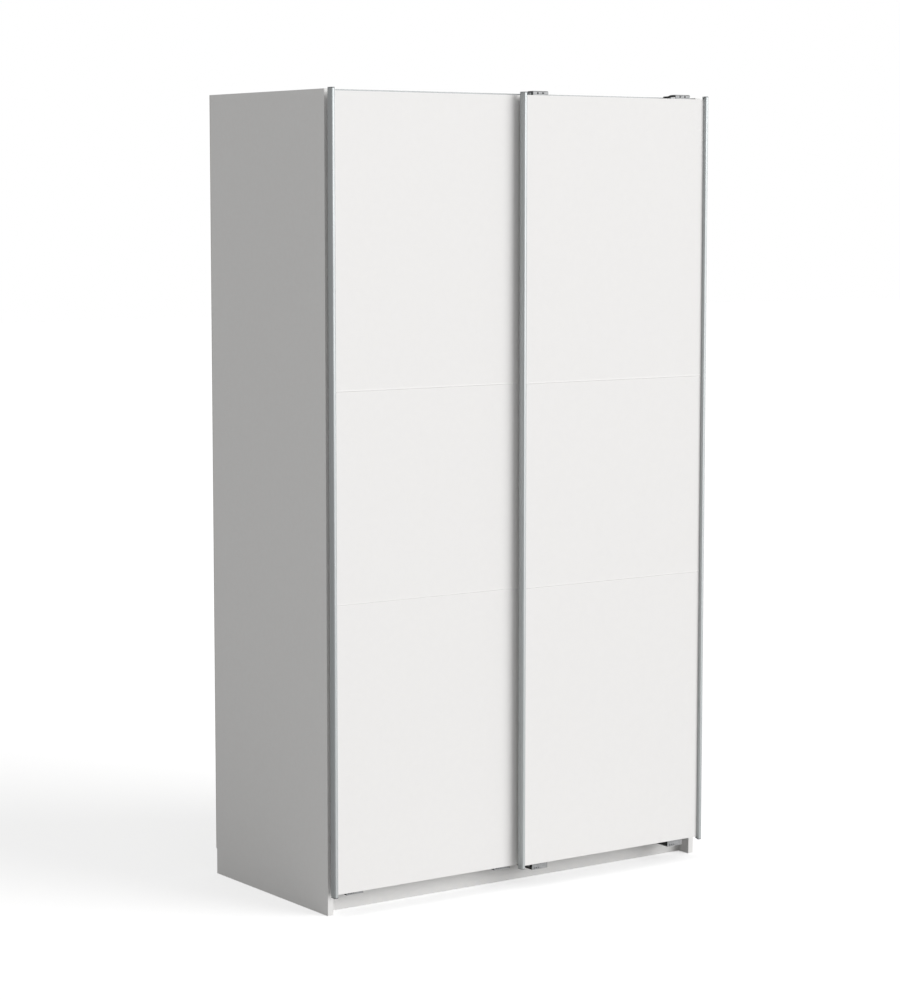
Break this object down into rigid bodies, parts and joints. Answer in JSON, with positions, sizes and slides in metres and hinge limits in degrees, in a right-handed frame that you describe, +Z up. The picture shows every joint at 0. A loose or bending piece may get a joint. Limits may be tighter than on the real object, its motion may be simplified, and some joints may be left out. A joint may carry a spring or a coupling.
{
  "type": "sliding door wardrobe",
  "caption": "Tall white wardrobe with two overlapping sliding doors on a double top track, vertical metal grip profiles, shelves, a divider and a clothes rail inside.",
  "frame": {"origin": "on the floor under the centre of the wardrobe's box, both doors as in the picture", "axes": "+Z up, +X to the right seen from the front, -Y towards the doors"},
  "size_m": [1.172, 0.5982, 2.0298],
  "materials": {
    "white_board": "white melamine-faced particle board, fine satin grain",
    "door_board": "smooth satin white foil on thin board",
    "hardboard": "white-lacquered hardboard, slightly mottled",
    "white_plastic": "white extruded plastic strip",
    "chrome_tube": "chrome-plated tube",
    "grey_plastic": "grey moulded end caps",
    "aluminium": "satin anodised, lengthwise drawing lines",
    "black_plastic": "black moulded plastic",
    "zinc_steel": "bright zinc-plated pressed steel",
    "nylon": "natural nylon"
  },
  "bodies": {
    "carcass": {"back_joint_strip": "white_plastic", "back_sheet_left": "hardboard", "back_sheet_right": "hardboard", "bottom_panel": "white_board", "bottom_track": "aluminium", "clothes_rail": "chrome_tube", "divider": "white_board", "front_stop_left": "black_plastic", "front_stop_right": "black_plastic", "hat_shelf": "white_board", "plinth_front": "white_board", "plinth_rear": "white_board", "rail_cup_left": "chrome_tube", "rail_cup_right": "chrome_tube", "rear_stop_left": "black_plastic", "rear_stop_right": "black_plastic", "shelf_1": "white_board", "shelf_2": "white_board", "shelf_3": "white_board", "shelf_4": "white_board", "side_panel_left": "white_board", "side_panel_right": "white_board", "top_panel": "white_board", "top_track": "aluminium", "wall_angle_left": "zinc_steel", "wall_angle_right": "zinc_steel"},
    "inner_door": {"inner_axle_left": "zinc_steel", "inner_axle_right": "zinc_steel", "inner_door_panel": "door_board", "inner_grip_left": "aluminium", "inner_grip_left_cap_bottom": "grey_plastic", "inner_grip_left_cap_top": "grey_plastic", "inner_grip_right": "aluminium", "inner_grip_right_cap_bottom": "grey_plastic", "inner_grip_right_cap_top": "grey_plastic", "inner_guide_plate_left": "zinc_steel", "inner_guide_plate_right": "zinc_steel", "inner_guide_shoe_left": "black_plastic", "inner_guide_shoe_right": "black_plastic", "inner_hanger_left": "zinc_steel", "inner_hanger_right": "zinc_steel"},
    "inner_roller_left": {"inner_roller_left": "nylon"},
    "inner_roller_right": {"inner_roller_right": "nylon"},
    "outer_door": {"outer_axle_left": "zinc_steel", "outer_axle_right": "zinc_steel", "outer_door_panel": "door_board", "outer_grip_left": "aluminium", "outer_grip_left_cap_bottom": "grey_plastic", "outer_grip_left_cap_top": "grey_plastic", "outer_grip_right": "aluminium", "outer_grip_right_cap_bottom": "grey_plastic", "outer_grip_right_cap_top": "grey_plastic", "outer_guide_plate_left": "zinc_steel", "outer_guide_plate_right": "zinc_steel", "outer_guide_shoe_left": "black_plastic", "outer_guide_shoe_right": "black_plastic", "outer_hanger_left": "zinc_steel", "outer_hanger_right": "zinc_steel"},
    "outer_roller_left": {"outer_roller_left": "nylon"},
    "outer_roller_right": {"outer_roller_right": "nylon"}
  },
  "joints": [
    {"name": "inner_door_slide", "type": "slide", "parent": "carcass", "child": "inner_door", "axis": [1, 0, 0], "range_m": [0, 0.572]},
    {"name": "outer_door_slide", "type": "slide", "parent": "carcass", "child": "outer_door", "axis": [-1, 0, 0], "range_m": [-0.0165, 0.5555]},
    {"name": "inner_roller_left_spin", "type": "hinge", "parent": "inner_door", "child": "inner_roller_left", "pos_m": [-0.5225, -0.23015, 1.9997], "axis": [0, 1, 0], "range_deg": [-1, 3564]},
    {"name": "inner_roller_right_spin", "type": "hinge", "parent": "inner_door", "child": "inner_roller_right", "pos_m": [-0.0605, -0.23015, 1.9997], "axis": [0, 1, 0], "range_deg": [-1, 3564]},
    {"name": "outer_roller_left_spin", "type": "hinge", "parent": "outer_door", "child": "outer_roller_left", "pos_m": [0.033, -0.20965, 1.9997], "axis": [0, -1, 0], "range_deg": [-104, 3461]},
    {"name": "outer_roller_right_spin", "type": "hinge", "parent": "outer_door", "child": "outer_roller_right", "pos_m": [0.495, -0.20965, 1.9997], "axis": [0, -1, 0], "range_deg": [-104, 3461]}
  ],
  "couplings": [
    {"joint": "inner_roller_left_spin", "follows": "inner_door_slide", "rad_per_m": 108.7},
    {"joint": "inner_roller_right_spin", "follows": "inner_door_slide", "rad_per_m": 108.7},
    {"joint": "outer_roller_left_spin", "follows": "outer_door_slide", "rad_per_m": 108.7},
    {"joint": "outer_roller_right_spin", "follows": "outer_door_slide", "rad_per_m": 108.7}
  ]
}
